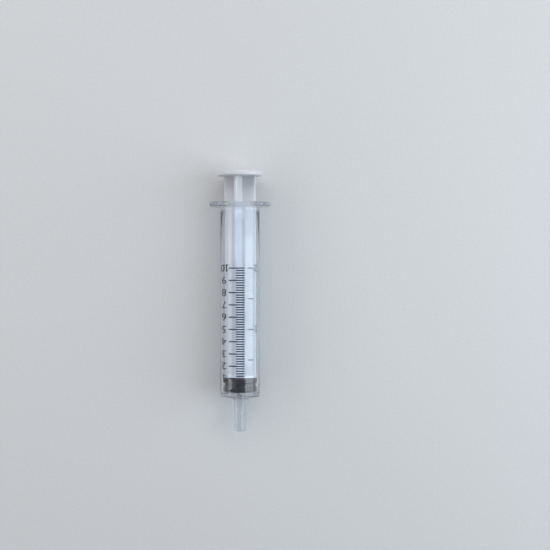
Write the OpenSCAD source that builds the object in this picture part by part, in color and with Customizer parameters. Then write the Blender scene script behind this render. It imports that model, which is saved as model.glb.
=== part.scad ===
// Oral dosing syringe, lying on its side.
// The syringe is drawn along its own axis, from the nozzle's tip at 0 to the thumb rest,
// and lay_down() then turns it so that +Y runs from the nozzle to the thumb rest and +Z is up.

/* [Barrel] */
// Inside diameter of the barrel, which sets how far apart the graduations are
bore_d = 15.4; // [13:0.1:19]
// Thickness of the barrel's wall
wall_t = 1; // [0.8:0.05:1.4]
// Volume at the last graduation, in millilitres
capacity_ml = 10; // [8:1:12]
// Bare barrel between the last graduation and the finger flange
reserve_len = 27.2; // [18:0.1:40]
// Thickness of the barrel's front wall
front_t = 1.8; // [1.5:0.1:2.4]
// Rise of the cone on the front wall, inside and outside
cone_h = 1; // [0.8:0.1:1.6]
// Height of the bead inside the mouth that keeps the stopper in
bead_h = 0.2; // [0.1:0.05:0.25]
// Distance from the mouth to the bead's crest
bead_depth = 3.5; // [3:0.1:6]

/* [Nozzle] */
// Length of the nozzle in front of the shoulder
nozzle_len = 14.4; // [10:0.1:20]
// Outside diameter at the nozzle's tip
nozzle_tip_d = 5.7; // [5:0.1:6.4]
// Outside diameter at the nozzle's root
nozzle_root_d = 7.4; // [6.8:0.1:9]
// Diameter of the hole through the nozzle
port_d = 2.4; // [1.6:0.1:3]

/* [Finger flange] */
// Width across the two finger wings
flange_w = 27.3; // [24:0.1:34]
// Depth across the two flats, which stop the syringe from rolling
flange_depth = 19.8; // [19.4:0.1:23]
// Thickness of the flange
flange_t = 2; // [1.6:0.1:3]

/* [Stopper] */
// Length of the stopper's round part, without its cone
stopper_len = 6.2; // [5.6:0.1:8]
// Width of each sealing ring
ring_w = 2.1; // [1.8:0.1:2.2]
// Depth of the groove between the sealing rings
groove_depth = 0.8; // [0.4:0.1:1.2]
// Bevel on the front ring, whose back edge is the line that is read
front_bevel = 1; // [0.6:0.1:1.2]
// Gap round the stopper's rings, where the real rubber is squeezed
stopper_fit = 0.04; // [0.02:0.01:0.08]
// Gap between the stopper's cone and the front wall when the plunger is home
seat_gap = 0.15; // [0.1:0.05:0.4]

/* [Plunger rod] */
// Thickness of the four ribs
rib_t = 1.5; // [1.1:0.1:2]
// Gap between the ribs and the barrel's bore
rib_gap = 0.6; // [0.5:0.1:1]
// Gap between the rod's front disc and the barrel's bore
disc_gap = 0.35; // [0.3:0.05:0.5]
// Thickness of the rod's front disc
disc_t = 1.2; // [0.8:0.1:2]
// Turn of the ribs from upright, in degrees
rod_turn = 15; // [0:1:45]
// Diameter of the knob that the stopper is snapped over
knob_d = 9.2; // [8:0.1:9.6]
// Diameter of the knob's neck
neck_d = 6.4; // [5:0.1:7]
// Height of the knob
knob_h = 2.1; // [1.8:0.1:2.4]
// Running gap between the knob and the stopper
knob_fit = 0.08; // [0.05:0.01:0.1]
// Gap between the finger flange and the thumb rest when the plunger is home
thumb_gap = 11.5; // [8:0.1:16]
// Diameter of the thumb rest
thumb_d = 19.4; // [17:0.1:19.8]
// Thickness of the thumb rest
thumb_t = 2.3; // [1.8:0.1:3]
// Number of grip grooves on the thumb rest
grip_grooves = 3; // [1:1:3]

/* [Printed scale] */
// Volume between neighbouring lines, in millilitres
step_ml = 0.2; // [0.2, 0.5, 1]
// Length of a whole-millilitre line, measured round the barrel
long_line = 7.1; // [6:0.1:8]
// Length of a line between them, measured round the barrel
short_line = 3.6; // [3:0.1:4.5]
// Distance of the lines' common end past the top of the barrel, measured round it
line_end = 2.1; // [1:0.05:2.5]
// Thickness of a line along the barrel
line_t = 0.5; // [0.3:0.05:0.6]
// Height of the numerals
numeral_h = 3.1; // [2.6:0.1:3.6]
// Width of one numeral
numeral_w = 2.6; // [1.6:0.1:3]
// Width of the numerals' strokes
stroke_w = 0.4; // [0.3:0.05:0.5]
// Distance from the long lines to the numerals' middle, measured round the barrel
numeral_offset = 3; // [2.4:0.1:4]
// Volume between the spoon measure's lines, in millilitres
spoon_step_ml = 2.5; // [2.5, 5]
// Where the spoon measure's lines start and end, measured round the barrel
spoon_from = 4; // [3.5:0.1:5]
spoon_to = 6.6; // [6:0.1:7]
// Height of the ink above the barrel
ink_t = 0.04; // [0.03:0.01:0.06]

/* [Hidden] */
$fn = 96;
FILLET_STEPS = 6;
CURVE_STEPS = 12;

bore_r = bore_d / 2;
barrel_r = bore_r + wall_t;
port_r = port_d / 2;

// One millilitre of travel, from the bore's area
ml_len = 1000 / (PI * pow(bore_r, 2));

// Stations along the axis, from the nozzle's tip
floor_at = nozzle_len + front_t;
stopper_at = floor_at + cone_h + seat_gap;
zero_at = stopper_at + front_bevel;
flange_at = zero_at + capacity_ml * ml_len + reserve_len;
mouth_at = flange_at + flange_t;
bead_at = mouth_at - bead_depth;
stopper_back = stopper_at + stopper_len;
rod_at = stopper_back + seat_gap;
thumb_at = mouth_at + thumb_gap;
full_len = thumb_at + thumb_t;

// The widest of what the syringe can lie on sets how high its axis is
axis_height = max(flange_depth, thumb_d, 2 * barrel_r) / 2;

// How far the plunger pulls out before the stopper meets the bead
bead_run = 4 * bead_h;
travel = bead_at - bead_run - stopper_back - stopper_fit;

stopper_r = bore_r - stopper_fit;
rib_r = bore_r - rib_gap;
knob_back_wall = stopper_len - ring_w - knob_h;
knob_at = rod_at - knob_back_wall - knob_h;

// A quarter turn of fillet, from angle a to angle b round [x, y]
function fillet(x, y, r, a, b) = [
    for (i = [0 : FILLET_STEPS])
        let (t = a + (b - a) * i / FILLET_STEPS)
        [x + r * cos(t), y + r * sin(t)]
];

// Puts the upright syringe on its side, centred over the origin
module lay_down() {
    translate([0, -full_len / 2, axis_height])
        rotate([-90, 0, 0])
            children();
}

// The barrel's body in section: nozzle, shoulder, wall and bore
module barrel_section() {
    tip_r = nozzle_tip_d / 2;
    root_r = nozzle_root_d / 2;
    tip_round = 0.5;
    root_round = 0.5;
    edge_round = 0.8;
    mouth_bevel = 0.5;
    shoulder_top = nozzle_len + cone_h;
    slope = cone_h / (barrel_r - root_r);
    polygon(concat(
        [[port_r, 0]],
        fillet(tip_r - tip_round, tip_round, tip_round, -90, 0),
        fillet(
            root_r + root_round, nozzle_len - root_round + slope * root_round,
            root_round, 180, 90 + atan(slope)
        ),
        fillet(
            barrel_r - edge_round, shoulder_top + edge_round * (1 - slope),
            edge_round, -90 + atan(slope), 0
        ),
        [
            [barrel_r, mouth_at],
            [bore_r + mouth_bevel, mouth_at],
            [bore_r, mouth_at - mouth_bevel],
            [bore_r, bead_at + bead_run],
            [bore_r - bead_h, bead_at],
            [bore_r, bead_at - bead_run],
            [bore_r, floor_at + cone_h],
            [port_r, floor_at]
        ]
    ));
}

// A disc with two flats, square to the barrel, with its rims rounded over
module finger_flange() {
    rim_round = 0.6;
    difference() {
        intersection() {
            translate([0, 0, flange_at])
                rotate_extrude()
                    polygon(concat(
                        [[0, 0]],
                        fillet(flange_w / 2 - rim_round, rim_round, rim_round, -90, 0),
                        fillet(flange_w / 2 - rim_round, flange_t - rim_round, rim_round, 0, 90),
                        [[0, flange_t]]
                    ));
            translate([-flange_w / 2, -flange_depth / 2, flange_at])
                cube([flange_w, flange_depth, flange_t]);
        }
        translate([0, 0, flange_at - flange_t])
            cylinder(r = bore_r + wall_t / 2, h = 3 * flange_t);
    }
}

module barrel() {
    color("lightcyan", 0.45)
        union() {
            rotate_extrude() barrel_section();
            finger_flange();
        }
}

// The stopper in section: cone, two sealing rings and the pocket for the rod's knob
module stopper_section() {
    groove_r = stopper_r - groove_depth;
    back_bevel = 0.3;
    pocket_r = knob_d / 2 + knob_fit;
    hole_r = neck_d / 2 + knob_fit;
    pocket_front = knob_at - knob_fit;
    pocket_back = knob_at + knob_h + knob_fit;
    polygon([
        [0, floor_at + seat_gap],
        [port_r, floor_at + seat_gap],
        [stopper_r - front_bevel, stopper_at],
        [stopper_r, zero_at],
        [stopper_r, stopper_at + ring_w - back_bevel],
        [groove_r, stopper_at + ring_w],
        [groove_r, stopper_back - ring_w],
        [stopper_r, stopper_back - ring_w + back_bevel],
        [stopper_r, stopper_back - back_bevel],
        [stopper_r - back_bevel, stopper_back],
        [hole_r, stopper_back],
        [hole_r, pocket_back],
        [pocket_r, pocket_back],
        [pocket_r, pocket_front],
        [0, pocket_front]
    ]);
}

module stopper() {
    color("#202124")
        rotate_extrude() stopper_section();
}

// The knob, its neck and the disc that pushes the stopper, in section
module rod_front_section() {
    knob_bevel = 0.5;
    polygon([
        [0, knob_at],
        [knob_d / 2 - knob_bevel, knob_at],
        [knob_d / 2, knob_at + knob_bevel],
        [knob_d / 2, knob_at + knob_h],
        [neck_d / 2, knob_at + knob_h],
        [neck_d / 2, rod_at],
        [bore_r - disc_gap, rod_at],
        [bore_r - disc_gap, rod_at + disc_t],
        [0, rod_at + disc_t]
    ]);
}

// The thumb rest in section, with round grip grooves in its outer face
module thumb_section() {
    rim_round = 0.7;
    groove_w = 0.8;
    groove_h = 0.3;
    thumb_r = thumb_d / 2;
    difference() {
        polygon(concat(
            [[0, thumb_at]],
            fillet(thumb_r - rim_round, thumb_at + rim_round, rim_round, -90, 0),
            fillet(thumb_r - rim_round, full_len - rim_round, rim_round, 0, 90),
            [[0, full_len]]
        ));
        for (i = [1 : grip_grooves])
            translate([i * thumb_r / (grip_grooves + 1) - groove_w / 2, full_len - groove_h])
                square([groove_w, 2 * groove_h]);
    }
}

module plunger_rod() {
    rib_from = rod_at + disc_t / 2;
    rib_len = thumb_at + thumb_t / 2 - rib_from;
    color("whitesmoke", 0.8)
        rotate([0, 0, -rod_turn])
            union() {
                rotate_extrude() rod_front_section();
                rotate_extrude() thumb_section();
                for (turn = [0, 90])
                    rotate([0, 0, turn])
                        translate([-rib_r, -rib_t / 2, rib_from])
                            cube([2 * rib_r, rib_t, rib_len]);
            }
}

// One printed line round the barrel, between two distances from its top, at a volume
module printed_line(volume, from, to) {
    per_mm = 180 / (PI * barrel_r);
    rotate([0, 0, -90 + from * per_mm])
        rotate_extrude(angle = (to - from) * per_mm)
            translate([barrel_r, zero_at + volume * ml_len - line_t / 2])
                square([ink_t, line_t]);
}

module graduation_long_lines() {
    color("black")
        for (ml = [0 : capacity_ml])
            printed_line(ml, line_end - long_line, line_end);
}

module graduation_short_lines() {
    steps = round(1 / step_ml);
    color("black")
        if (steps > 1)
            for (ml = [0 : capacity_ml - 1], i = [1 : steps - 1])
                printed_line(ml + i / steps, line_end - short_line, line_end);
}

// Points on an arc of an ellipse, for the numerals' curves
function arc(x, y, rx, ry, a, b) = [
    for (i = [0 : CURVE_STEPS])
        let (t = a + (b - a) * i / CURVE_STEPS)
        [x + rx * cos(t), y + ry * sin(t)]
];

// Where each numeral's pen strokes run, in a cell 1 wide and 1 high
function strokes(digit) =
    digit == 0 ? [arc(0.5, 0.5, 0.5, 0.5, 90, 450)]
    : digit == 1 ? [[[0.58, 1], [0.58, 0]], [[0.1, 0.72], [0.55, 0.95]]]
    : digit == 2 ? [concat(arc(0.5, 0.7, 0.46, 0.3, 165, -40), [[0.12, 0.04]]), [[0, 0], [1, 0]]]
    : digit == 3 ? [
        arc(0.46, 0.75, 0.42, 0.25, 155, -80),
        arc(0.46, 0.27, 0.5, 0.27, 100, -155)
    ]
    : digit == 4 ? [[[0.74, 1], [0.74, 0]], [[0.7, 0.96], [0.06, 0.34]], [[0, 0.3], [1, 0.3]]]
    : digit == 5 ? [concat([[0.14, 0.98], [0.1, 0.5]], arc(0.46, 0.31, 0.5, 0.31, 115, -150)), [[0.1, 1], [0.92, 1]]]
    : digit == 6 ? [
        arc(0.5, 0.3, 0.48, 0.3, 90, 450),
        arc(0.86, 0.33, 0.84, 0.67, 172, 105)
    ]
    : digit == 7 ? [[[0, 1], [0.96, 1], [0.36, 0]]]
    : digit == 8 ? [
        arc(0.5, 0.77, 0.4, 0.23, 90, 450),
        arc(0.5, 0.27, 0.5, 0.27, 90, 450)
    ]
    : [
        arc(0.5, 0.7, 0.48, 0.3, 90, 450),
        arc(0.14, 0.67, 0.84, 0.67, -8, -75)
    ];

// Which way a pen stroke runs from one point to the next
function heading(a, b) = (b - a) / norm(b - a);

// The mitred sideways step from a pen stroke's point i to its edge
function sideways(path, i) =
    let (
        last = len(path) - 1,
        closed = norm(path[0] - path[last]) < 0.001,
        before = i > 0 ? i - 1 : (closed ? last - 1 : 0),
        after = i < last ? i + 1 : (closed ? 1 : last),
        a = before == i ? heading(path[i], path[after]) : heading(path[before], path[i]),
        b = after == i ? a : heading(path[i], path[after]),
        d = (a + b) / (1 + a * b)
    )
    [-d[1], d[0]] * stroke_w / 2;

function left_edge(path) = [for (i = [0 : len(path) - 1]) path[i] + sideways(path, i)];
function right_edge(path) = [for (i = [len(path) - 1 : -1 : 0]) path[i] - sideways(path, i)];
function open_loop(points) = [for (i = [0 : len(points) - 2]) points[i]];

// A pen stroke that closes on itself is a ring, and any other is a ribbon
module stroke(path) {
    if (norm(path[0] - path[len(path) - 1]) < 0.001)
        difference() {
            polygon(open_loop(right_edge(path)));
            polygon(open_loop(left_edge(path)));
        }
    else
        polygon(concat(left_edge(path), right_edge(path)));
}

module numeral(digit) {
    for (path = strokes(digit))
        stroke([for (p = path) [(p[0] - 0.5) * (numeral_w - stroke_w), (p[1] - 0.5) * (numeral_h - stroke_w)]]);
}

// Numerals are read with the nozzle uppermost, so they are upside down here
module printed_number(value, volume, middle) {
    per_mm = 180 / (PI * barrel_r);
    gap = 0.4;
    digits = value < 10 ? [value] : [floor(value / 10), value % 10];
    for (i = [0 : len(digits) - 1]) {
        shift = (i - (len(digits) - 1) / 2) * (numeral_w + gap);
        intersection() {
            rotate([0, 0, (middle - shift) * per_mm])
                translate([0, 0, zero_at + volume * ml_len])
                    rotate([90, 180, 0])
                        linear_extrude(barrel_r + 1)
                            numeral(digits[i]);
            translate([0, 0, zero_at + volume * ml_len - numeral_h])
                difference() {
                    cylinder(r = barrel_r + ink_t, h = 2 * numeral_h);
                    translate([0, 0, -1])
                        cylinder(r = barrel_r, h = 2 * numeral_h + 2);
                }
        }
    }
}

module graduation_numerals() {
    color("black")
        for (ml = [1 : capacity_ml])
            printed_number(ml, ml, line_end - long_line - numeral_offset);
}

module spoon_measure_marks() {
    per_spoon = 5;
    color("dimgray") {
        for (ml = [spoon_step_ml : spoon_step_ml : capacity_ml])
            printed_line(ml, spoon_from, spoon_to);
        for (spoons = [1 : floor(capacity_ml / per_spoon)])
            printed_number(spoons, spoons * per_spoon, spoon_to + numeral_w / 2 + 0.5);
    }
}

echo(full_len = full_len, axis_height = axis_height, travel = travel, ml_len = ml_len,
    floor_at = floor_at, zero_at = zero_at, flange_at = flange_at, mouth_at = mouth_at,
    stopper_back = stopper_back, thumb_at = thumb_at, knob_at = knob_at, bead_at = bead_at);

lay_down() barrel();
lay_down() stopper();
lay_down() plunger_rod();
lay_down() graduation_long_lines();
lay_down() graduation_short_lines();
lay_down() graduation_numerals();
lay_down() spoon_measure_marks();
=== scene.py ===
import math

import bmesh
import bpy
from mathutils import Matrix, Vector


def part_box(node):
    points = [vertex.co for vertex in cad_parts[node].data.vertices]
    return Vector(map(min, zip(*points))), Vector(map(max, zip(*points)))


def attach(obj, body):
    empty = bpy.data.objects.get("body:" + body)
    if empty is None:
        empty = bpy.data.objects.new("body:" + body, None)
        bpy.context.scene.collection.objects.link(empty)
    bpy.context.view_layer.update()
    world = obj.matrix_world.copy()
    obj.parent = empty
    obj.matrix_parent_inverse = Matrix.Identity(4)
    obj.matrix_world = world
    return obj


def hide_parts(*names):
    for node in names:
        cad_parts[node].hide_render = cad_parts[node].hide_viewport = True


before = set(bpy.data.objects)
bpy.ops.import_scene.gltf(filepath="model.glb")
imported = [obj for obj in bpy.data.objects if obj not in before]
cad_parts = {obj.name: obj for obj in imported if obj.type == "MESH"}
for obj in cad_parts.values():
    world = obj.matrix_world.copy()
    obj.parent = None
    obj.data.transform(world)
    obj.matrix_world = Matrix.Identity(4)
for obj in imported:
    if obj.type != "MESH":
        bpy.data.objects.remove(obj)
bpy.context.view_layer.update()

# Barrel
# One injection-moulded tube of clear polypropylene, with the tapered nozzle, the front wall
# and the finger flange in the same shot. The gate is at the flange, and a bead inside the
# mouth keeps the stopper in.
MM = 0.001
barrel_low, barrel_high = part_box("barrel")
tip_y = barrel_low[1]
axis_z = (barrel_low[2] + barrel_high[2]) / 2
SEGMENTS = 192
SHARP = math.radians(38)
BORE_R = 7.7
BARREL_R = 8.7
PORT_R = 1.2
NOZZLE_TIP_R = 2.85
NOZZLE_ROOT_R = 3.7
NOZZLE_LEN = 14.4
FLOOR_AT = 16.2
CONE_H = 1.0
FLANGE_AT = 99.237
MOUTH_AT = 101.237
FLANGE_R = 13.62
FLANGE_HALF = 9.89
FLANGE_CORNER_POWER = 60
FLANGE_ROOT = 0.45
BEAD_AT = 97.737
BEAD_R = 7.5
WALL_STATIONS = (40.0, 70.0)


def at(x, station, z):
    """The point in the scene at x and z from the syringe's axis and a station from its tip, in mm."""
    return Vector((x * MM, tip_y + station * MM, axis_z + z * MM))


def circle(radius):
    """A ring of points round the axis."""
    turns = [2 * math.pi * i / SEGMENTS for i in range(SEGMENTS)]
    return [(radius * math.cos(t), radius * math.sin(t)) for t in turns]


def arc(station, radius, size, start, end, steps=6):
    """Stations and radii on a quarter of a small circle, between two angles in degrees."""
    points = []
    for i in range(steps + 1):
        t = math.radians(start + (end - start) * i / steps)
        points.append((station + size * math.sin(t), radius + size * math.cos(t)))
    return points


def turned(profile):
    """Rings of a turned shape from stations and radii."""
    return [(station, circle(radius)) for station, radius in profile]


def inset(outline, amount):
    """The outline moved inwards by amount, square to itself."""
    moved = []
    count = len(outline)
    for i, (x, z) in enumerate(outline):
        ax, az = outline[i - 1]
        bx, bz = outline[(i + 1) % count]
        run = math.hypot(bx - ax, bz - az)
        moved.append((x - amount * (bz - az) / run, z + amount * (bx - ax) / run))
    return moved


def skin(name, rings, closed=False):
    """A mesh over rings of points. A closed one joins its last ring to its first."""
    mesh = bmesh.new()
    loops = []
    for station, outline in rings:
        loops.append([mesh.verts.new(at(x, station, z)) for x, z in outline])
    count = len(loops[0])
    pairs = list(zip(loops, loops[1:]))
    if closed:
        pairs.append((loops[-1], loops[0]))
    for a, b in pairs:
        for i in range(count):
            j = (i + 1) % count
            mesh.faces.new((a[i], a[j], b[j], b[i]))
    if not closed:
        mesh.faces.new(loops[0])
        mesh.faces.new(loops[-1])
    return finished(name, mesh)


def finished(name, mesh):
    """An object from a bmesh, smooth but for its sharp edges."""
    bmesh.ops.recalc_face_normals(mesh, faces=mesh.faces)
    for face in mesh.faces:
        face.smooth = True
    for edge in mesh.edges:
        edge.smooth = len(edge.link_faces) == 2 and edge.calc_face_angle() < SHARP
    data = bpy.data.meshes.new(name)
    mesh.to_mesh(data)
    mesh.free()
    piece = bpy.data.objects.new(name, data)
    bpy.context.scene.collection.objects.link(piece)
    return piece


def flange_outline():
    """A circle with its top and bottom cut flat and its corners eased."""
    outline = []
    for i in range(SEGMENTS):
        t = 2 * math.pi * i / SEGMENTS
        flat = FLANGE_HALF / max(abs(math.sin(t)), 0.001)
        both = FLANGE_R ** -FLANGE_CORNER_POWER + flat ** -FLANGE_CORNER_POWER
        reach = both ** (-1 / FLANGE_CORNER_POWER)
        outline.append((reach * math.cos(t), reach * math.sin(t)))
    return outline


def rim(outline, start, end, size, steps=6):
    """Rings over a rounded rim, from a station to a later one."""
    rings = []
    for i in range(steps + 1):
        t = math.pi / 2 * i / steps
        rings.append((start + size * (1 - math.cos(t)), inset(outline, size * (1 - math.sin(t)))))
    for i in range(steps + 1):
        t = math.pi / 2 * i / steps
        rings.append((end - size * (1 - math.sin(t)), inset(outline, size * (1 - math.cos(t)))))
    return rings


slope = CONE_H / (BARREL_R - NOZZLE_ROOT_R)
shoulder_deg = math.degrees(math.atan(slope))
edge_round = 0.8
root_round = 0.5
rim_round = 0.6
tip_round = 0.5
bead_slope = 0.4
bead_reach = 0.8
bead_toe = 0.12
outside = [(0.0, PORT_R + 0.15)]
outside += arc(tip_round, NOZZLE_TIP_R - tip_round, tip_round, -90, 0)
outside += arc(
    NOZZLE_LEN - root_round + slope * root_round,
    NOZZLE_ROOT_R + root_round + 0.02, root_round, 180, 90 + shoulder_deg
)
shoulder_edge = NOZZLE_LEN + CONE_H + edge_round * (1 - slope)
outside += arc(shoulder_edge, BARREL_R - edge_round, edge_round, -90 + shoulder_deg, 0)
outside += [(station, BARREL_R) for station in WALL_STATIONS]
outside += arc(FLANGE_AT - FLANGE_ROOT, BARREL_R + FLANGE_ROOT, FLANGE_ROOT, 180, 90)
inside = [
    (MOUTH_AT, BORE_R + 0.62), (MOUTH_AT - 0.06, BORE_R + 0.5), (MOUTH_AT - 0.5, BORE_R + 0.06),
    (MOUTH_AT - 0.62, BORE_R), (BEAD_AT + bead_reach, BORE_R),
    (BEAD_AT + bead_slope, BORE_R - bead_toe), (BEAD_AT, BEAD_R),
    (BEAD_AT - bead_slope, BORE_R - bead_toe), (BEAD_AT - bead_reach, BORE_R)
]
inside += [(station, BORE_R) for station in reversed(WALL_STATIONS)]
inside += [
    (FLOOR_AT + CONE_H + 0.15, BORE_R), (FLOOR_AT + CONE_H + 0.02, BORE_R - 0.04),
    (FLOOR_AT + CONE_H - 0.04, BORE_R - 0.16),
    (FLOOR_AT + 0.03, PORT_R + 0.12), (FLOOR_AT, PORT_R + 0.05), (FLOOR_AT - 0.1, PORT_R),
    (0.15, PORT_R), (0.04, PORT_R + 0.04)
]
barrel_rings = turned(outside)
barrel_rings += rim(flange_outline(), FLANGE_AT, MOUTH_AT, rim_round)
barrel_rings += turned(inside)
barrel = skin("barrel_moulding", barrel_rings, closed=True)


def new_material(name):
    """An empty node material and its tree."""
    material = bpy.data.materials.new(name)
    material.use_nodes = True
    tree = material.node_tree
    tree.nodes.clear()
    return material, tree


def add(tree, kind, **values):
    """A node of that kind, with its properties or inputs set by name."""
    node = tree.nodes.new(kind)
    for key, value in values.items():
        if hasattr(node, key):
            setattr(node, key, value)
        else:
            node.inputs[key.replace("_", " ")].default_value = value
    return node


def join(tree, source, output, target, input_name):
    """Links a node's output to another's input."""
    tree.links.new(source.outputs[output], target.inputs[input_name])


def ramp(tree, source, output, stops):
    """A colour ramp on a value, between two stops of (place, colour)."""
    node = add(tree, "ShaderNodeValToRGB")
    join(tree, source, output, node, "Fac")
    elements = node.color_ramp.elements
    for element, (place, colour) in zip(elements, stops):
        element.position = place
        element.color = (*colour, 1)
    return node


def spread(tree, source, output, low, high, from_low=0.3, from_high=0.7):
    """A value stretched from one range to another, held at its ends."""
    node = add(tree, "ShaderNodeMapRange")
    join(tree, source, output, node, "Value")
    node.inputs["From Min"].default_value = from_low
    node.inputs["From Max"].default_value = from_high
    node.inputs["To Min"].default_value = low
    node.inputs["To Max"].default_value = high
    return node


def moulded_plastic_group():
    """What flowing plastic leaves on a moulding: long flow marks, a fine grain and scuffs."""
    group = bpy.data.node_groups.new("moulded_plastic", "ShaderNodeTree")
    face = group.interface
    face.new_socket("Flow", in_out="INPUT", socket_type="NodeSocketFloat").default_value = 1.0
    face.new_socket("Grain", in_out="INPUT", socket_type="NodeSocketFloat").default_value = 1.0
    face.new_socket("Cloud", in_out="OUTPUT", socket_type="NodeSocketFloat")
    face.new_socket("Scuff", in_out="OUTPUT", socket_type="NodeSocketFloat")
    face.new_socket("Height", in_out="OUTPUT", socket_type="NodeSocketFloat")
    given = add(group, "NodeGroupInput")
    made = add(group, "NodeGroupOutput")
    place = add(group, "ShaderNodeTexCoord")
    along = add(group, "ShaderNodeMapping")
    join(group, place, "Object", along, "Vector")
    along.inputs["Scale"].default_value = (1.0, 0.12, 1.0)
    flow = add(group, "ShaderNodeTexNoise", Scale=260.0, Detail=3.0, Roughness=0.55)
    join(group, along, "Vector", flow, "Vector")
    cloud = add(group, "ShaderNodeTexNoise", Scale=70.0, Detail=4.0, Roughness=0.5)
    join(group, place, "Object", cloud, "Vector")
    grain = add(group, "ShaderNodeTexNoise", Scale=2600.0, Detail=2.0, Roughness=0.6)
    join(group, place, "Object", grain, "Vector")
    scratch_way = add(group, "ShaderNodeMapping")
    join(group, place, "Object", scratch_way, "Vector")
    scratch_way.inputs["Rotation"].default_value = (0.0, 0.5, 0.35)
    scratch_way.inputs["Scale"].default_value = (1.0, 0.06, 1.0)
    scratch = add(group, "ShaderNodeTexNoise", Scale=1900.0, Detail=1.0, Roughness=0.5)
    join(group, scratch_way, "Vector", scratch, "Vector")
    scuff = spread(group, scratch, "Fac", 0.0, 1.0, 0.55, 0.75)
    flow_height = add(group, "ShaderNodeMath", operation="MULTIPLY")
    join(group, flow, "Fac", flow_height, 0)
    join(group, given, "Flow", flow_height, 1)
    grain_height = add(group, "ShaderNodeMath", operation="MULTIPLY")
    join(group, grain, "Fac", grain_height, 0)
    join(group, given, "Grain", grain_height, 1)
    height = add(group, "ShaderNodeMath", operation="ADD")
    join(group, flow_height, "Value", height, 0)
    join(group, grain_height, "Value", height, 1)
    join(group, cloud, "Fac", made, "Cloud")
    join(group, scuff, "Result", made, "Scuff")
    join(group, height, "Value", made, "Height")
    return group


moulded_plastic = moulded_plastic_group()


def clear_material(name, transmission, haze_low, haze_high, light, dark):
    """Clear polypropylene. Its shadow is only tinted, as light goes through the real wall."""
    material, tree = new_material(name)
    out = add(tree, "ShaderNodeOutputMaterial")
    surface = add(tree, "ShaderNodeBsdfPrincipled")
    surface.inputs["IOR"].default_value = 1.49
    surface.inputs["Transmission Weight"].default_value = transmission
    texture = add(tree, "ShaderNodeGroup")
    texture.node_tree = moulded_plastic
    texture.inputs["Flow"].default_value = 1.0
    texture.inputs["Grain"].default_value = 0.12
    tint = ramp(tree, texture, "Cloud", [(0.3, dark), (0.7, light)])
    join(tree, tint, "Color", surface, "Base Color")
    haze = spread(tree, texture, "Cloud", haze_low, haze_high)
    scuffed = add(tree, "ShaderNodeMath", operation="MULTIPLY_ADD")
    join(tree, texture, "Scuff", scuffed, 0)
    scuffed.inputs[1].default_value = 0.04
    join(tree, haze, "Result", scuffed, 2)
    join(tree, scuffed, "Value", surface, "Roughness")
    bump = add(tree, "ShaderNodeBump", Strength=0.05, Distance=0.0002)
    join(tree, texture, "Height", bump, "Height")
    join(tree, bump, "Normal", surface, "Normal")
    shadow = add(tree, "ShaderNodeBsdfTransparent")
    shadow.inputs["Color"].default_value = (0.80, 0.85, 0.89, 1)
    path = add(tree, "ShaderNodeLightPath")
    mix = add(tree, "ShaderNodeMixShader")
    join(tree, path, "Is Shadow Ray", mix, 0)
    join(tree, surface, "BSDF", mix, 1)
    join(tree, shadow, "BSDF", mix, 2)
    join(tree, mix, "Shader", out, "Surface")
    return material


barrel.data.materials.append(
    clear_material("clear_polypropylene", 0.985, 0.03, 0.08, (0.885, 0.90, 0.93), (0.81, 0.83, 0.87))
)
barrel.data.materials.append(
    clear_material("thick_polypropylene", 0.86, 0.10, 0.16, (0.75, 0.76, 0.80), (0.66, 0.675, 0.72))
)
for face in barrel.data.polygons:
    station = (face.center.y - tip_y) / MM
    if station < NOZZLE_LEN + CONE_H or station > FLANGE_AT - FLANGE_ROOT - 0.05:
        face.material_index = 1
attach(barrel, "barrel")
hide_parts("barrel")

# Stopper
# A black rubber moulding, snapped over the rod's knob and wiped with silicone oil. Its cone
# meets the front wall, and two rounded rings seal against the bore.
STOPPER_AT = 17.35
STOPPER_LEN = 6.2
RING_W = 2.1
STOPPER_R = 7.66
GROOVE_R = 6.86
KNOB_AT = 19.6
KNOB_H = 2.1
KNOB_R = 4.6
NECK_R = 3.2
KNOB_FIT = 0.08
GROOVE_ROUND = 0.4
stopper_back = STOPPER_AT + STOPPER_LEN
front_bevel = 1.0
back_round = 0.3
stopper_profile = [(FLOOR_AT + 0.15, 0.02), (FLOOR_AT + 0.15, 0.9), (FLOOR_AT + 0.2, 1.2)]
stopper_profile += [(STOPPER_AT - 0.02, STOPPER_R - front_bevel - 0.1)]
stopper_profile += arc(STOPPER_AT + front_bevel, STOPPER_R - front_bevel, front_bevel, -78, 0, 8)
stopper_profile += arc(STOPPER_AT + RING_W - back_round, STOPPER_R - back_round, back_round, 0, 90)
stopper_profile += arc(
    STOPPER_AT + RING_W + GROOVE_ROUND, GROOVE_R + GROOVE_ROUND, GROOVE_ROUND, 270, 180
)
stopper_profile += arc(
    stopper_back - RING_W - GROOVE_ROUND, GROOVE_R + GROOVE_ROUND, GROOVE_ROUND, 180, 90
)
stopper_profile += arc(stopper_back - RING_W + back_round, STOPPER_R - back_round, back_round, -90, 0)
stopper_profile += arc(stopper_back - back_round, STOPPER_R - back_round, back_round, 0, 90)
stopper_profile += [
    (stopper_back, NECK_R + KNOB_FIT), (KNOB_AT + KNOB_H + KNOB_FIT, NECK_R + KNOB_FIT),
    (KNOB_AT + KNOB_H + KNOB_FIT, KNOB_R + KNOB_FIT), (KNOB_AT - KNOB_FIT, KNOB_R + KNOB_FIT),
    (KNOB_AT - KNOB_FIT, 0.02)
]
stopper = skin("rubber_stopper", turned(stopper_profile))

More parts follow.
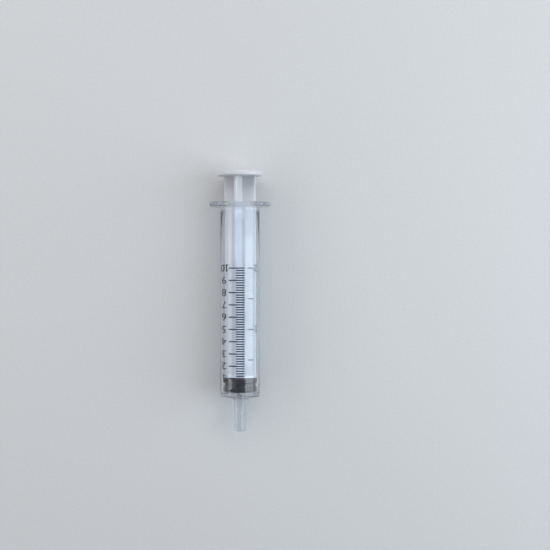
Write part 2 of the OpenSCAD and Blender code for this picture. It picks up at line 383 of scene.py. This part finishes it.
black_rubber, tree = new_material("black_rubber")
out = add(tree, "ShaderNodeOutputMaterial")
surface = add(tree, "ShaderNodeBsdfPrincipled")
place = add(tree, "ShaderNodeTexCoord")
patches = add(tree, "ShaderNodeTexNoise", Scale=240.0, Detail=5.0, Roughness=0.6)
join(tree, place, "Object", patches, "Vector")
grain = add(tree, "ShaderNodeTexNoise", Scale=5200.0, Detail=2.0, Roughness=0.7)
join(tree, place, "Object", grain, "Vector")
tint = ramp(tree, patches, "Fac", [(0.3, (0.007, 0.008, 0.010)), (0.7, (0.017, 0.018, 0.022))])
join(tree, tint, "Color", surface, "Base Color")
oily = spread(tree, patches, "Fac", 0.28, 0.5)
join(tree, oily, "Result", surface, "Roughness")
surface.inputs["Coat Weight"].default_value = 0.25
surface.inputs["Coat Roughness"].default_value = 0.15
bump = add(tree, "ShaderNodeBump", Strength=0.25, Distance=0.0001)
join(tree, grain, "Fac", bump, "Height")
join(tree, bump, "Normal", surface, "Normal")
join(tree, surface, "BSDF", out, "Surface")
stopper.data.materials.append(black_rubber)
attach(stopper, "stopper")
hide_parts("stopper")

# Plunger rod
# One moulding of uncoloured polypropylene: the knob and neck inside the stopper, the disc
# that pushes it, four ribs that thin towards their edges, and the thumb rest with its grip
# rings. It sits in the barrel turned a little from upright.
ROD_AT = 23.7
DISC_T = 1.2
DISC_R = 7.35
RIB_R = 7.1
RIB_ROOT = 0.86
RIB_EDGE = 0.66
ROD_TURN = 15
THUMB_AT = 112.737
FULL_LEN = 115.037
THUMB_R = 9.7
GRIP_GROOVES = 3
RIB_CORNER = 0.7
RIB_TIP = 0.4
RIB_MIDDLE_AT = 68.0
DISC_FILLET = 0.45
THUMB_FILLET = 0.6
THUMB_ROUND = 0.7
KNOB_ROUND = 0.5
DISC_ROUND = 0.2
FILLET_STEPS = 5


def cross_outline(grown):
    """The ribs' section: a cross with filleted corners, grown all round by a fillet's reach."""
    corner = RIB_CORNER - grown
    root = RIB_ROOT + grown
    edge = RIB_EDGE + grown
    centre = root + corner
    half = []
    for i in range(FILLET_STEPS + 1):
        t = math.radians(225 + 45 * i / FILLET_STEPS)
        half.append((centre + corner * math.cos(t), centre + corner * math.sin(t)))
    for i in range(1, FILLET_STEPS):
        k = i / FILLET_STEPS
        half.append((centre + (RIB_R - RIB_TIP - centre) * k, root + (edge - root) * k))
    for i in range(FILLET_STEPS + 1):
        t = math.radians(90 - 90 * i / FILLET_STEPS)
        half.append((RIB_R - RIB_TIP + RIB_TIP * math.cos(t), edge - RIB_TIP + RIB_TIP * math.sin(t)))
    lower = [(x, -z) for x, z in reversed(half[1:])]
    arm = half + [(RIB_R, 0.0)] + lower
    outline = []
    for quarter in range(4):
        turn = math.radians(ROD_TURN - 90 * quarter)
        c, s = math.cos(turn), math.sin(turn)
        outline += [(x * c - z * s, x * s + z * c) for x, z in arm]
    return outline


def fillet_ring(wall_at, way, fillet, i):
    """A ring of the ribs on their fillet to a wall, from the wall at 0 to the plain ribs."""
    rise = math.sin(math.pi / 2 * i / FILLET_STEPS)
    return wall_at + way * fillet * rise, cross_outline(fillet * (1 - rise) ** 1.6)


disc_back = ROD_AT + DISC_T
rib_rings = [(disc_back - 0.4, cross_outline(DISC_FILLET))]
for i in range(FILLET_STEPS + 1):
    rib_rings.append(fillet_ring(disc_back, 1, DISC_FILLET, i))
rib_rings.append((RIB_MIDDLE_AT, cross_outline(0.0)))
for i in range(FILLET_STEPS, -1, -1):
    rib_rings.append(fillet_ring(THUMB_AT, -1, THUMB_FILLET, i))
rib_rings.append((THUMB_AT + 0.5, cross_outline(THUMB_FILLET)))
rod = skin("plunger_moulding", rib_rings)

front_profile = [(KNOB_AT, 0.02), (KNOB_AT, KNOB_R - 0.6)]
front_profile += arc(KNOB_AT + KNOB_ROUND, KNOB_R - KNOB_ROUND, KNOB_ROUND, -80, 0)
front_profile += [(KNOB_AT + KNOB_H - 0.1, KNOB_R), (KNOB_AT + KNOB_H, KNOB_R - 0.1)]
front_profile += [(KNOB_AT + KNOB_H, NECK_R), (ROD_AT, NECK_R)]
front_profile += arc(ROD_AT + DISC_ROUND, DISC_R - DISC_ROUND, DISC_ROUND, -90, 0, 4)
front_profile += arc(disc_back - DISC_ROUND, DISC_R - DISC_ROUND, DISC_ROUND, 0, 90, 4)
front_profile += [(disc_back, 0.02)]
rod_front = skin("rod_front", turned(front_profile))

thumb_profile = [(THUMB_AT, 0.02)]
thumb_profile += arc(THUMB_AT + THUMB_ROUND, THUMB_R - THUMB_ROUND, THUMB_ROUND, -90, 0, 8)
thumb_profile += arc(FULL_LEN - THUMB_ROUND, THUMB_R - THUMB_ROUND, THUMB_ROUND, 0, 90, 8)
groove_half = 0.4
groove_deep = 0.3
for groove in range(GRIP_GROOVES, 0, -1):
    middle = groove * THUMB_R / (GRIP_GROOVES + 1)
    thumb_profile += [
        (FULL_LEN, middle + groove_half + 0.1), (FULL_LEN - 0.05, middle + groove_half),
        (FULL_LEN - groove_deep + 0.06, middle + 0.24), (FULL_LEN - groove_deep, middle),
        (FULL_LEN - groove_deep + 0.06, middle - 0.24), (FULL_LEN - 0.05, middle - groove_half),
        (FULL_LEN, middle - groove_half - 0.1)
    ]
thumb_profile += [(FULL_LEN, 0.02)]
thumb_rest = skin("thumb_rest", turned(thumb_profile))


def fuse(piece, others):
    """Joins the others into piece as one solid, and smooths what isn't a sharp edge."""
    for other in others:
        union = piece.modifiers.new("union", "BOOLEAN")
        union.operation = "UNION"
        union.solver = "EXACT"
        union.object = other
    bpy.context.view_layer.update()
    evaluated = piece.evaluated_get(bpy.context.evaluated_depsgraph_get())
    mesh = bmesh.new()
    mesh.from_mesh(evaluated.to_mesh())
    evaluated.to_mesh_clear()
    bmesh.ops.remove_doubles(mesh, verts=mesh.verts, dist=0.000002)
    bmesh.ops.dissolve_degenerate(mesh, edges=mesh.edges, dist=0.000001)
    name = piece.name
    for old in [piece, *others]:
        bpy.data.objects.remove(old)
    return finished(name, mesh)


rod = fuse(rod, [rod_front, thumb_rest])

natural_plastic, tree = new_material("natural_polypropylene")
out = add(tree, "ShaderNodeOutputMaterial")
surface = add(tree, "ShaderNodeBsdfPrincipled")
surface.inputs["IOR"].default_value = 1.49
surface.inputs["Transmission Weight"].default_value = 0.08
surface.inputs["Subsurface Weight"].default_value = 0.12
surface.inputs["Subsurface Radius"].default_value = (0.0016, 0.0018, 0.0021)
surface.inputs["Subsurface Scale"].default_value = 1.0
texture = add(tree, "ShaderNodeGroup")
texture.node_tree = moulded_plastic
texture.inputs["Flow"].default_value = 1.2
texture.inputs["Grain"].default_value = 0.2
tint = ramp(tree, texture, "Cloud", [(0.3, (0.65, 0.665, 0.695)), (0.7, (0.68, 0.695, 0.725))])
join(tree, tint, "Color", surface, "Base Color")
satin = spread(tree, texture, "Cloud", 0.30, 0.34)
scuffed = add(tree, "ShaderNodeMath", operation="MULTIPLY_ADD")
join(tree, texture, "Scuff", scuffed, 0)
scuffed.inputs[1].default_value = 0.05
join(tree, satin, "Result", scuffed, 2)
join(tree, scuffed, "Value", surface, "Roughness")
bump = add(tree, "ShaderNodeBump", Strength=0.1, Distance=0.0002)
join(tree, texture, "Height", bump, "Height")
join(tree, bump, "Normal", surface, "Normal")
join(tree, surface, "BSDF", out, "Surface")
rod.data.materials.append(natural_plastic)
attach(rod, "plunger")
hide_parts("plunger_rod")

# Printed scale
# Dark ink rolled on to the barrel in one pass: long lines each millilitre, short lines each
# fifth, and numerals that are read with the nozzle uppermost. The ink stands a hair proud,
# with slightly ragged edges, and is thinner in places.
ZERO_AT = 18.35
ML = 5.3687
CAPACITY = 10
STEPS_PER_ML = 5
LONG_FROM = -5.0
SHORT_FROM = -1.5
LINES_TO = 2.1
LINE_T = 0.5
SPOON_FROM = 4.0
SPOON_TO = 6.6
SPOON_STEP = 2.5
SPOON_MARKS = 4
INK_T = 0.035
INK_GAP = 0.003
RAGGED = 0.012
RAGGED_AROUND = 31.7
RAGGED_ALONG = 5.3
LINE_POINTS_EACH = 0.3
LINE_END_PLACES = (0.0, 0.05, 0.1)
LINE_END_NARROWED = (0.07, 0.02)
NUMERAL_H = 3.1
NUMERAL_WIDEN = 1.7
NUMERAL_MIDDLE = -8.0
TEN_MIDDLE = -7.7
DIGIT_STEP = 2.8
SPOON_MIDDLE = 8.4


def on_barrel(around, station, lift=0.0):
    """The point on the barrel at a distance round it from its top and a station, lifted off it."""
    turn = around / BARREL_R
    radius = BARREL_R + INK_GAP + lift
    return at(radius * math.sin(turn), station, radius * math.cos(turn))


def add_line(mesh, start, end, station):
    """Adds one printed line to the mesh, from start to end round the barrel."""
    middle = max(4, int((end - start) / LINE_POINTS_EACH))
    first, second, third = LINE_END_PLACES
    inner = end - start - 2 * third
    places = [start + first, start + second]
    places += [start + third + inner * i / middle for i in range(middle + 1)]
    places += [end - second, end - first]
    steps = len(places) - 1
    tops = []
    bottoms = []
    for i, around in enumerate(places):
        from_end = min(i, steps - i)
        eased = LINE_END_NARROWED[from_end] if from_end < len(LINE_END_NARROWED) else 0.0
        ragged = RAGGED * math.sin(RAGGED_AROUND * around + RAGGED_ALONG * station)
        half = LINE_T / 2 - eased + ragged
        for side in (-1, 1):
            tops.append(mesh.verts.new(on_barrel(around, station + side * half, INK_T)))
            bottoms.append(mesh.verts.new(on_barrel(around, station + side * half)))
    for i in range(steps):
        a, b, c, d = 2 * i, 2 * i + 1, 2 * i + 3, 2 * i + 2
        mesh.faces.new((tops[a], tops[b], tops[c], tops[d]))
        mesh.faces.new((bottoms[d], bottoms[c], bottoms[b], bottoms[a]))
        mesh.faces.new((tops[d], bottoms[d], bottoms[a], tops[a]))
        mesh.faces.new((tops[b], bottoms[b], bottoms[c], tops[c]))
    last = 2 * steps
    mesh.faces.new((tops[0], bottoms[0], bottoms[1], tops[1]))
    mesh.faces.new((tops[last + 1], bottoms[last + 1], bottoms[last], tops[last]))


def printed_lines(name, lines):
    """One object of printed lines, each (start, end, millilitres)."""
    mesh = bmesh.new()
    for start, end, volume in lines:
        add_line(mesh, start, end, ZERO_AT + volume * ML)
    return finished(name, mesh)


def glyph(digit):
    """A digit as a flat mesh, 1 high and centred. The one is drawn with a flag and a foot."""
    flat = bmesh.new()
    if digit == "1":
        outline = [
            (0.0, 0.0), (0.46, 0.0), (0.46, 0.115), (0.3, 0.115), (0.3, 1.0), (0.2, 1.0),
            (0.02, 0.84), (0.02, 0.71), (0.17, 0.83), (0.17, 0.115), (0.0, 0.115)
        ]
        flat.faces.new([flat.verts.new((x, y, 0)) for x, y in outline])
        flat.normal_update()
        bmesh.ops.triangulate(flat, faces=flat.faces)
    else:
        curve = bpy.data.curves.new("digit", "FONT")
        curve.body = digit
        curve.resolution_u = 8
        drawn = bpy.data.objects.new("digit", curve)
        bpy.context.scene.collection.objects.link(drawn)
        bpy.context.view_layer.update()
        flat.from_mesh(drawn.to_mesh())
        drawn.to_mesh_clear()
        bpy.data.objects.remove(drawn)
    xs = [v.co.x for v in flat.verts]
    ys = [v.co.y for v in flat.verts]
    middle = Vector(((max(xs) + min(xs)) / 2, (max(ys) + min(ys)) / 2, 0))
    for v in flat.verts:
        v.co = (v.co - middle) / (max(ys) - min(ys))
    return flat


def printed_numerals(name, digits):
    """One object of digits, each (digit, middle round the barrel, millilitres)."""
    mesh = bmesh.new()
    for digit, middle, volume in digits:
        flat = glyph(digit)
        solid = bmesh.ops.extrude_face_region(flat, geom=flat.faces[:])
        raised = {v for v in solid["geom"] if isinstance(v, bmesh.types.BMVert)}
        for v in flat.verts:
            around = middle - v.co.x * NUMERAL_H * NUMERAL_WIDEN
            station = ZERO_AT + volume * ML - v.co.y * NUMERAL_H
            v.co = on_barrel(around, station, INK_T if v in raised else 0.0)
        part = bpy.data.meshes.new("digit")
        flat.to_mesh(part)
        flat.free()
        mesh.from_mesh(part)
        bpy.data.meshes.remove(part)
    return finished(name, mesh)


whole = [(LONG_FROM, LINES_TO, ml) for ml in range(CAPACITY + 1)]
fifths = []
for ml in range(CAPACITY):
    for i in range(1, STEPS_PER_ML):
        fifths.append((SHORT_FROM, LINES_TO, ml + i / STEPS_PER_ML))
spoons = [(SPOON_FROM, SPOON_TO, SPOON_STEP * (i + 1)) for i in range(SPOON_MARKS)]
long_lines = printed_lines("scale_long_lines", whole)
short_lines = printed_lines("scale_short_lines", fifths)
digits = [(str(ml), NUMERAL_MIDDLE, ml) for ml in range(1, CAPACITY)]
digits += [
    ("1", TEN_MIDDLE + DIGIT_STEP / 2, CAPACITY), ("0", TEN_MIDDLE - DIGIT_STEP / 2, CAPACITY)
]
numerals = printed_numerals("scale_numerals", digits)
spoon_lines = printed_lines("spoon_lines", spoons)
spoon_digits = [("1", SPOON_MIDDLE, 5), ("2", SPOON_MIDDLE, 10)]
spoon_numerals = printed_numerals("spoon_numerals", spoon_digits)


def ink_material(name, dark, light):
    """Printing ink that is thinner in places and a little matt."""
    material, tree = new_material(name)
    out = add(tree, "ShaderNodeOutputMaterial")
    surface = add(tree, "ShaderNodeBsdfPrincipled")
    place = add(tree, "ShaderNodeTexCoord")
    thin = add(tree, "ShaderNodeTexNoise", Scale=900.0, Detail=4.0, Roughness=0.65)
    join(tree, place, "Object", thin, "Vector")
    tint = ramp(tree, thin, "Fac", [(0.35, dark), (0.72, light)])
    join(tree, tint, "Color", surface, "Base Color")
    dull = spread(tree, thin, "Fac", 0.35, 0.6)
    join(tree, dull, "Result", surface, "Roughness")
    surface.inputs["Specular IOR Level"].default_value = 0.3
    bump = add(tree, "ShaderNodeBump", Strength=0.3, Distance=0.00005)
    join(tree, thin, "Fac", bump, "Height")
    join(tree, bump, "Normal", surface, "Normal")
    join(tree, surface, "BSDF", out, "Surface")
    return material


scale_ink = ink_material("scale_ink", (0.008, 0.009, 0.013), (0.035, 0.040, 0.055))
spoon_ink = ink_material("spoon_ink", (0.16, 0.18, 0.22), (0.30, 0.33, 0.38))
for piece, node, ink in [
    (long_lines, "graduation_long_lines", scale_ink),
    (short_lines, "graduation_short_lines", scale_ink),
    (numerals, "graduation_numerals", scale_ink),
    (spoon_lines, "spoon_measure_marks", spoon_ink),
    (spoon_numerals, "spoon_measure_marks", spoon_ink)
]:
    piece.data.materials.append(ink)
    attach(piece, "barrel")
    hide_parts(node)

# Studio
# A pale table that runs out of the picture, tall softboxes to both sides of the syringe, one
# past its thumb end, and the camera straight above it.
TABLE_HALF = 3.0
AIM = (0, 0, 0.01)
table_data = bpy.data.meshes.new("table")
table_mesh = bmesh.new()
bmesh.ops.create_grid(table_mesh, x_segments=1, y_segments=1, size=TABLE_HALF)
table_mesh.to_mesh(table_data)
table_mesh.free()
table_top = bpy.data.objects.new("table", table_data)
bpy.context.scene.collection.objects.link(table_top)
paper, tree = new_material("pale_paper")
out = add(tree, "ShaderNodeOutputMaterial")
surface = add(tree, "ShaderNodeBsdfPrincipled", Roughness=0.8)
place = add(tree, "ShaderNodeTexCoord")
fibre = add(tree, "ShaderNodeTexNoise", Scale=900.0, Detail=3.0)
join(tree, place, "Object", fibre, "Vector")
tint = ramp(tree, fibre, "Fac", [(0.3, (0.60, 0.61, 0.62)), (0.7, (0.63, 0.64, 0.65))])
join(tree, tint, "Color", surface, "Base Color")
join(tree, surface, "BSDF", out, "Surface")
table_data.materials.append(paper)

world = bpy.data.worlds.new("studio")
world.use_nodes = True
world.node_tree.nodes["Background"].inputs["Color"].default_value = (0.90, 0.91, 0.94, 1)
world.node_tree.nodes["Background"].inputs["Strength"].default_value = 0.26
bpy.context.scene.world = world


def soft_light(name, place, width, length, power, colour):
    """A softbox aimed at the syringe. Its width is level and its length stands up."""
    data = bpy.data.lights.new(name, "AREA")
    data.shape = "RECTANGLE"
    data.size = width
    data.size_y = length
    data.energy = power
    data.color = colour
    light = bpy.data.objects.new(name, data)
    bpy.context.scene.collection.objects.link(light)
    light.location = place
    light.rotation_euler = (Vector(AIM) - Vector(place)).to_track_quat("-Z", "Y").to_euler()


soft_light("key_light", (0.54, 0.02, 0.335), 0.42, 0.62, 3.0, (0.84, 0.93, 1.0))
soft_light("fill_light", (-0.57, 0.05, 0.315), 1.2, 0.30, 2.1, (1.0, 0.99, 0.98))
soft_light("end_light", (0.0, 0.75, 0.75), 1.2, 0.5, 5.5, (1.0, 0.99, 0.985))

bpy.context.scene.view_settings.view_transform = "Standard"
camera_data = bpy.data.cameras.new("camera")
camera = bpy.data.objects.new("camera", camera_data)
bpy.context.scene.collection.objects.link(camera)
bpy.context.scene.camera = camera
camera_height = 0.65
camera_x = 0.0155
camera_y = 0.0115
frame_width = 0.2435
sensor_width = 36
camera_data.sensor_width = sensor_width
camera_data.lens = sensor_width * camera_height / frame_width
camera_data.clip_start = 0.01
camera.location = (camera_x, camera_y, axis_z + camera_height)
